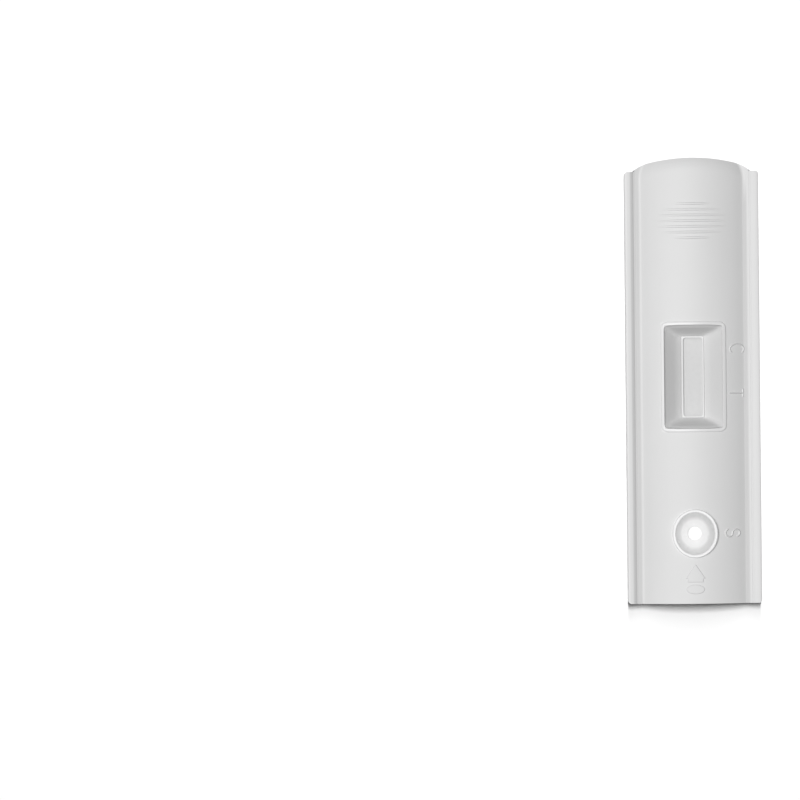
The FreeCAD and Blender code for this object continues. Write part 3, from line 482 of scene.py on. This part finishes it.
def letter(name, centre, strokes):
    cx, cy = centre
    placed = [[(cx + v, cy - u) for u, v in points] for points in strokes]
    box = (
        cx - LETTER_TALL / 2 - LETTER_MARGIN, cx + LETTER_TALL / 2 + LETTER_MARGIN,
        cy - LETTER_WIDE / 2 - LETTER_MARGIN, cy + LETTER_WIDE / 2 + LETTER_MARGIN,
    )
    return emboss(
        name, box, lambda x, y: stroke_distance(x, y, placed) - LETTER_STROKE,
        LETTER_HEIGHT, LETTER_STEP, LETTER_FOOT,
    )


SIGN_HEIGHT = 0.12
ARROW_STROKE = 0.06


def make_marks():
    """The letters for control, test and sample, the arrow to the well and the oval."""
    c_strokes = [arc((0.08, 0.0), (0.78, 1.12), 52, 308)]
    t_strokes = [[(-0.56, 1.1), (0.56, 1.1)], [(0.0, 1.1), (0.0, -1.1)]]
    s_strokes = [
        arc((0.0, 0.56), (0.55, 0.57), 20, 270) + arc((0.0, -0.57), (0.58, 0.56), 90, -160)
    ]
    letter("mark_control", (6.9, 5.0), c_strokes)
    letter("mark_test", (6.74, -2.0), t_strokes)
    letter("mark_sample", (5.95, -23.95), s_strokes)
    head = [
        (-1.42, -31.0), (-1.15, -31.0), (-1.15, -31.55), (1.15, -31.55), (1.15, -31.0),
        (1.42, -31.0), (0.0, -28.9),
    ]
    emboss(
        "mark_arrow", (-1.9, 1.9, -32.0, -28.4),
        lambda x, y: polygon_distance(x, y, head) - ARROW_STROKE, SIGN_HEIGHT,
    )
    oval = arc((0.0, -32.74), (1.4, 0.72), 0, 360, 60)[:-1]
    emboss(
        "mark_oval", (-1.9, 1.9, -33.9, -31.6),
        lambda x, y: polygon_distance(x, y, oval), SIGN_HEIGHT,
    )


# The window recess, in millimetres: half sizes at the mouth and at the slot's lip.
MOUTH = (4.65, 8.2)
LIP = (1.84, 6.46)
RECESS_FOOT = 2.25
LIP_TOP = 2.4
LIP_ROUND = (1.4, 6.05)
LIP_ROUND_REACH = 0.42
LIP_SLOPE = 0.36

# The recess's skin, in millimetres: its grid, where it stops short of the mouth, how its walls
# blend, how far they lie under their straight lines, its lift over the CAD, and the most that it
# may stand over the dome, which goes before the lift.
RECESS_STEP = 0.1
RECESS_MARGIN = 0.02
WALL_BLEND = 1.0
WALL_HOLLOW = 0.1
SKIN_LIFT = 0.012
SKIN_TOP = 0.02


# A rail's cap in section, chosen from the photograph's profile,
# in millimetres: out from the cover's lip, over the crown, down the side.
RAIL_SECTION = (
    (8.95, 3.2), (8.95, 3.4), (9.0, 3.388), (9.06, 3.385), (9.13, 3.4), (9.2, 3.43), (9.3, 3.475),
    (9.42, 3.52), (9.57, 3.56), (9.75, 3.592), (9.95, 3.612), (10.15, 3.618), (10.3, 3.604),
    (10.4, 3.568), (10.46, 3.515), (10.49, 3.45), (10.5, 3.38), (10.5, 3.24), (10.4, 3.2),
)
RAIL_ENDS = (-34.985, 32.885)
RAIL_CORNER = 0.5


def make_rail_caps():
    """The rails' crowned tops. Their inner edges reach a little into the cover's lip, over the
    gap beside it, and their lower parts are sunk in the rails."""
    middle = np.linspace(RAIL_ENDS[0] + RAIL_CORNER, RAIL_ENDS[1] - RAIL_CORNER, 60)
    turn = RAIL_CORNER * (1 - np.cos(np.linspace(0.0, math.pi / 2, 7)[:-1]))
    stations = np.concatenate([RAIL_ENDS[0] + turn, middle, (RAIL_ENDS[1] - turn)[::-1]])
    size = len(RAIL_SECTION)
    for name, sign in (("rail_cap_left", -1.0), ("rail_cap_right", 1.0)):
        points = []
        for y in stations:
            inset = max(RAIL_CORNER - min(y - RAIL_ENDS[0], RAIL_ENDS[1] - y), 0.0)
            limit = CASE_HALF_WIDTH - RAIL_CORNER + math.sqrt(max(RAIL_CORNER ** 2 - inset ** 2, 0.0))
            for x, z in RAIL_SECTION:
                points.append((sign * min(x, limit) * MM, y * MM, z * MM))
        faces = [tuple(range(size)), tuple(range(len(points) - size, len(points)))[::-1]]
        for row in range(len(stations) - 1):
            for number in range(size):
                after = (number + 1) % size
                a = row * size
                faces.append((a + number, a + size + number, a + size + after, a + after))
        if sign < 0:
            faces = [face[::-1] for face in faces]
        make_piece(name, points, faces, "shell_plastic", smooth=False)


def surface_under(node):
    """A function that gives the height of a CAD node's skin at a place, millimetres."""
    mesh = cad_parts[node].data
    tree = BVHTree.FromPolygons(
        [vertex.co for vertex in mesh.vertices], [tuple(face.vertices) for face in mesh.polygons]
    )

    def height(x, y):
        hit = tree.ray_cast(Vector((x * MM, y * MM, 0.02)), Vector((0.0, 0.0, -1.0)))[0]
        return hit.z / MM if hit is not None else 0.0

    return height


def soft_max(first, second, blend):
    """The larger of two heights, with the valley between them rounded off."""
    share = np.clip(0.5 + 0.5 * (first - second) / blend, 0.0, 1.0)
    return second * (1 - share) + first * share + blend * share * (1 - share)


def make_recess_skin():
    """The recess's moulded skin, with soft corners. It lies on the CAD recess, and its outer
    edge tucks under the raised frame."""
    skin = surface_under("top_cover")
    columns = int(2 * (MOUTH[0] - RECESS_MARGIN) / RECESS_STEP) + 1
    rows = int(2 * (MOUTH[1] - RECESS_MARGIN) / RECESS_STEP) + 1
    across = np.linspace(-MOUTH[0] + RECESS_MARGIN, MOUTH[0] - RECESS_MARGIN, columns)
    along = np.linspace(-MOUTH[1] + RECESS_MARGIN, MOUTH[1] - RECESS_MARGIN, rows)
    x, y = np.meshgrid(across, along)
    side_share = np.clip((np.abs(x) - LIP[0]) / (MOUTH[0] - LIP[0]), 0.0, 1.0)
    end_share = np.clip((np.abs(y) - LIP[1]) / (MOUTH[1] - LIP[1]), 0.0, 1.0)
    side_top = float(dome(MOUTH[0]))
    side = RECESS_FOOT + (side_top - RECESS_FOOT) * side_share
    end_lift = np.interp(end_share, [0.0, 0.72, 1.0], [0.0, 0.82, 1.0])
    end = RECESS_FOOT + (dome(x) - RECESS_FOOT) * end_lift
    z = soft_max(side, end, WALL_BLEND) - WALL_HOLLOW
    past_side = np.clip(np.abs(x) - LIP_ROUND[0], 0.0, None)
    past_end = np.clip(np.abs(y) - LIP_ROUND[1], 0.0, None)
    past_lip = np.hypot(past_side, past_end) - LIP_ROUND_REACH
    z = np.maximum(z, LIP_TOP - LIP_SLOPE * np.clip(past_lip, 0.0, None))
    points = []
    numbers = -np.ones(x.shape, dtype=int)
    for row in range(rows):
        for column in range(columns):
            if abs(x[row, column]) < LIP[0] and abs(y[row, column]) < LIP[1]:
                continue
            place = (x[row, column], y[row, column] + WINDOW_CENTRE)
            height = max(z[row, column], skin(*place) + SKIN_LIFT)
            height = min(height, float(dome(place[0])) + SKIN_TOP)
            numbers[row, column] = len(points)
            points.append((place[0] * MM, place[1] * MM, height * MM))
    faces = []
    for row in range(rows - 1):
        for column in range(columns - 1):
            corner = [
                numbers[row, column], numbers[row, column + 1],
                numbers[row + 1, column + 1], numbers[row + 1, column],
            ]
            if min(corner) >= 0:
                faces.append([int(number) for number in corner])
    piece = make_piece("window_recess_skin", points, faces, "shell_plastic")
    refinish(piece, RECESS_PAINTED_SHADE_PLASTIC)


# The bowl is steeper above a knee. Both are shares: of the way out, and of the depth.
KNEE_WAY = 0.6
KNEE_LIFT = 0.34
KNEE_BLEND = 0.4
BOWL_START = 0.015
BOWL_REACH = 0.97
BOWL_LIFT = 0.01


def make_well_skin():
    """The polished bowl of the sample well, its two slopes run into one another."""
    skin = surface_under("top_cover")
    rings = 40
    turns = 120
    points = []
    for ring in range(rings):
        share = BOWL_START + BOWL_REACH * ring / (rings - 1)
        low = WELL_LOW + WELL_DEPTH * share * KNEE_LIFT / KNEE_WAY
        above_knee = (share - KNEE_WAY) * (1 - KNEE_LIFT) / (1 - KNEE_WAY)
        high = WELL_LOW + WELL_DEPTH * (KNEE_LIFT + above_knee)
        curve = float(soft_max(low, high, KNEE_BLEND)) + SKIN_LIFT
        across = WELL_HOLE + share * (WELL_RIM[0] - WELL_HOLE)
        along = WELL_HOLE + share * (WELL_RIM[1] - WELL_HOLE)
        for turn in range(turns):
            angle = 2 * math.pi * turn / turns
            x = across * math.cos(angle)
            y = WELL_CENTRE + along * math.sin(angle)
            height = max(curve, skin(x, y) + BOWL_LIFT)
            points.append((x * MM, y * MM, height * MM))
    faces = []
    for ring in range(rings - 1):
        for turn in range(turns):
            after = (turn + 1) % turns
            a = ring * turns
            faces.append((a + turn, a + after, a + turns + after, a + turns + turn))
    piece = make_piece("well_skin", points, faces, "shell_plastic")
    refinish(piece, WELL_PLASTIC)
    return piece


def smooth_noise(rng, shape, cell):
    """Soft random hills between -1 and 1 over a grid, cell points apart."""
    rows = int(shape[0] / cell) + 3
    columns = int(shape[1] / cell) + 3
    seeds = rng.uniform(-1.0, 1.0, (rows, columns))
    down = np.arange(shape[0]) / cell
    over = np.arange(shape[1]) / cell
    row = down.astype(int)
    column = over.astype(int)
    down_share = (down - row)[:, None]
    over_share = (over - column)[None, :]
    down_share = down_share * down_share * (3 - 2 * down_share)
    over_share = over_share * over_share * (3 - 2 * over_share)
    near_left = seeds[np.ix_(row, column)]
    near_right = seeds[np.ix_(row, column + 1)]
    far_left = seeds[np.ix_(row + 1, column)]
    far_right = seeds[np.ix_(row + 1, column + 1)]
    near = near_left * (1 - over_share) + near_right * over_share
    far = far_left * (1 - over_share) + far_right * over_share
    return near * (1 - down_share) + far * down_share


def make_layer(name, slot, profile, step, rough, seed, edge=0.0):
    """A layer of the strip as a closed slab. profile gives, in millimetres, (y, foot, top)
    along the strip; the top is roughened and the long edges fray a little. A step in the
    profile is spread over one cell of the grid, so a pad sinks a little where it climbs."""
    rng = np.random.default_rng(seed)
    profile = np.array(profile)
    count = int((profile[-1, 0] - profile[0, 0]) / step) + 1
    y = np.linspace(profile[0, 0], profile[-1, 0], count)
    foot = np.interp(y, profile[:, 0], profile[:, 1])
    top = np.interp(y, profile[:, 0], profile[:, 2])
    columns = int(2 * STRIP_HALF_WIDTH / step) + 1
    across = np.linspace(-1.0, 1.0, columns)
    fine = smooth_noise(rng, (count, columns), 2.2)
    hills = 0.5 * fine + 0.5 * smooth_noise(rng, (count, columns), 6.0)
    fray = 1.0 - edge * (0.5 + 0.5 * smooth_noise(rng, (count, 2), 2.0)[:, :1])
    x = across[None, :] * STRIP_HALF_WIDTH * fray
    z_top = top[:, None] - rough * (0.5 + 0.5 * hills)
    points = []
    for row in range(count):
        for column in range(columns):
            points.append((x[row, column] * MM, y[row] * MM, z_top[row, column] * MM))
    for row in range(count):
        for column in range(columns):
            points.append((x[row, column] * MM, y[row] * MM, foot[row] * MM))
    faces = []
    under = count * columns
    for row in range(count - 1):
        for column in range(columns - 1):
            a = row * columns + column
            faces.append((a, a + 1, a + 1 + columns, a + columns))
            faces.append((under + a, under + a + columns, under + a + 1 + columns, under + a + 1))
    for column in range(columns - 1):
        a = column
        faces.append((a, under + a, under + a + 1, a + 1))
        b = (count - 1) * columns + column
        faces.append((b, b + 1, under + b + 1, under + b))
    for row in range(count - 1):
        a = row * columns
        faces.append((a, a + columns, under + a + columns, under + a))
        b = a + columns - 1
        faces.append((b, under + b, under + b + columns, b + columns))
    return make_piece(name, points, faces, slot, node=name, smooth=False)


# The strip, in millimetres, as the CAD has it.
STRIP_HALF_WIDTH = 2.0
STRIP_START = -32.0
STRIP_END = 28.0
MEMBRANE_START = -11.9
MEMBRANE_END = 13.1
CONJUGATE_START = -18.9
LAP = 2.0
CLIMB = 0.01
BED = 1.6
CARD_TOP = 1.85
MEMBRANE_TOP = 2.0
CONJUGATE_TOP = 2.15
CONJUGATE_THICKNESS = 0.3
SAMPLE_PAD_THICKNESS = 0.6
ABSORBENT_THICKNESS = 0.9


def make_pad(name, slot, stations, thickness, rough, seed, edge):
    """A pad that follows what it lies on. stations gives (y, foot) along the strip."""
    profile = [(y, foot, foot + thickness) for y, foot in stations]
    make_layer(name, slot, profile, 0.1, rough, seed, edge)


def make_strip():
    """The five layers of the strip in place of their plain solids."""
    make_layer(
        "backing_card", "card_film",
        [(STRIP_START, BED, CARD_TOP), (STRIP_END, BED, CARD_TOP)], 0.5, 0.0, 1,
    )
    make_layer(
        "nitrocellulose_membrane", "membrane",
        [(MEMBRANE_START, CARD_TOP, MEMBRANE_TOP), (MEMBRANE_END, CARD_TOP, MEMBRANE_TOP)],
        0.12, 0.006, 2, 0.002,
    )
    make_pad(
        "conjugate_pad", "conjugate_fibre",
        [
            (CONJUGATE_START, CARD_TOP), (MEMBRANE_START - CLIMB, CARD_TOP),
            (MEMBRANE_START, MEMBRANE_TOP), (MEMBRANE_START + LAP, MEMBRANE_TOP),
        ],
        CONJUGATE_THICKNESS, 0.03, 3, 0.012,
    )
    make_pad(
        "sample_pad", "pad_fibre",
        [
            (STRIP_START, CARD_TOP), (CONJUGATE_START - CLIMB, CARD_TOP),
            (CONJUGATE_START, CONJUGATE_TOP), (CONJUGATE_START + LAP, CONJUGATE_TOP),
        ],
        SAMPLE_PAD_THICKNESS, 0.04, 4, 0.015,
    )
    make_pad(
        "absorbent_pad", "pad_fibre",
        [
            (MEMBRANE_END - LAP, MEMBRANE_TOP), (MEMBRANE_END, MEMBRANE_TOP),
            (MEMBRANE_END + CLIMB, CARD_TOP), (STRIP_END, CARD_TOP),
        ],
        ABSORBENT_THICKNESS, 0.04, 5, 0.015,
    )


for node in ("top_cover", "bottom_cover"):
    dress(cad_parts[node], "shell_plastic")
make_marks()
make_rail_caps()
make_recess_skin()
well_skin = make_well_skin()
make_strip()


# Stage


FLOOR_DROP = 0.00002


def make_floor():
    """A pale table. Its lights stand past the thumb end, so the shadow is at the other end."""
    s = Shader("table_white")
    material = s.surface(s.node("ShaderNodeBsdfDiffuse", None, Color=grey(0.86)))
    half = 4.0
    corners = [(-half, -half, 0), (half, -half, 0), (half, half, 0), (-half, half, 0)]
    mesh = bpy.data.meshes.new("table")
    mesh.from_pydata(corners, [], [(0, 1, 2, 3)])
    mesh.materials.append(material)
    floor = bpy.data.objects.new("table", mesh)
    floor.location = (0.0, 0.0, -FLOOR_DROP)
    bpy.context.scene.collection.objects.link(floor)
    floor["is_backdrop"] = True
    return floor


def make_light(name, direction, distance, size, watts):
    """A rectangular soft light that faces the object from a direction."""
    lamp = bpy.data.lights.new(name, "AREA")
    lamp.shape = "RECTANGLE"
    lamp.size = size[0]
    lamp.size_y = size[1]
    lamp.energy = watts
    thing = bpy.data.objects.new(name, lamp)
    towards = Vector(direction).normalized()
    thing.location = towards * distance
    thing.rotation_euler = towards.to_track_quat("Z", "Y").to_euler()
    bpy.context.scene.collection.objects.link(thing)
    return thing


def link_light(light, things, name):
    """The light falls on these things only."""
    group = bpy.data.collections.new(name)
    for thing in things:
        group.objects.link(thing)
    light.light_linking.receiver_collection = group


def tilt(left, up):
    """Direction of a light, in degrees left of and up from straight above."""
    return (-math.tan(math.radians(left)), math.tan(math.radians(up)), 1.0)


floor = make_floor()
key = make_light("key", tilt(12.5, 2.0), distance=0.7, size=(0.42, 0.42), watts=5.4)
over_well = make_light("over_well", tilt(0.0, 0.0), distance=0.7, size=(0.42, 0.42), watts=6.2)
floor_near = make_light("floor_near", tilt(0.0, 9.5), distance=2.4, size=(0.05, 0.64), watts=44.0)
floor_far = make_light("floor_far", tilt(0.0, 26.0), distance=2.4, size=(0.05, 1.9), watts=27.0)
# The key light is on the object alone and the bowl has its own, which is the photograph's light
# and not the object's: one shadow, at the straight end, and an evenly lit bowl.
link_light(key, [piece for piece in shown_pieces() if piece != well_skin], "lit_object")
link_light(over_well, [well_skin], "lit_well")
link_light(floor_near, [floor], "lit_floor_near")
link_light(floor_far, [floor], "lit_floor_far")

world = bpy.data.worlds.new("studio")
world.use_nodes = True
background = world.node_tree.nodes["Background"]
background.inputs["Color"].default_value = grey(1.0)
background.inputs["Strength"].default_value = 0.06
bpy.context.scene.world = world

# Camera

# The photograph's width and the place of the case's middle in it, in pixels.
PICTURE = 800
CASE_IN_PICTURE = (693.1, 380.7)
PIXEL = 0.15716 * MM
ROLL = math.radians(0.57)
LENS = 300.0
SENSOR = 36.0
HEIGHT = PICTURE * PIXEL * LENS / SENSOR
CASE_MIDDLE_HEIGHT = 3.0 * MM

right = Vector((math.cos(ROLL), -math.sin(ROLL), 0.0))
up = Vector((math.sin(ROLL), math.cos(ROLL), 0.0))
camera_data = bpy.data.cameras.new("camera")
camera_data.lens = LENS
camera_data.sensor_width = SENSOR
camera = bpy.data.objects.new("camera", camera_data)
middle = Vector((0.0, 0.0, CASE_MIDDLE_HEIGHT))
aside = right * (CASE_IN_PICTURE[0] - PICTURE / 2) * PIXEL
raised = up * (PICTURE / 2 - CASE_IN_PICTURE[1]) * PIXEL
camera.location = middle - aside - raised + Vector((0.0, 0.0, HEIGHT))
camera.rotation_euler = (0.0, 0.0, -ROLL)
bpy.context.scene.collection.objects.link(camera)
bpy.context.scene.camera = camera
bpy.context.scene.view_settings.view_transform = "Standard"

bpy.context.view_layer.update()
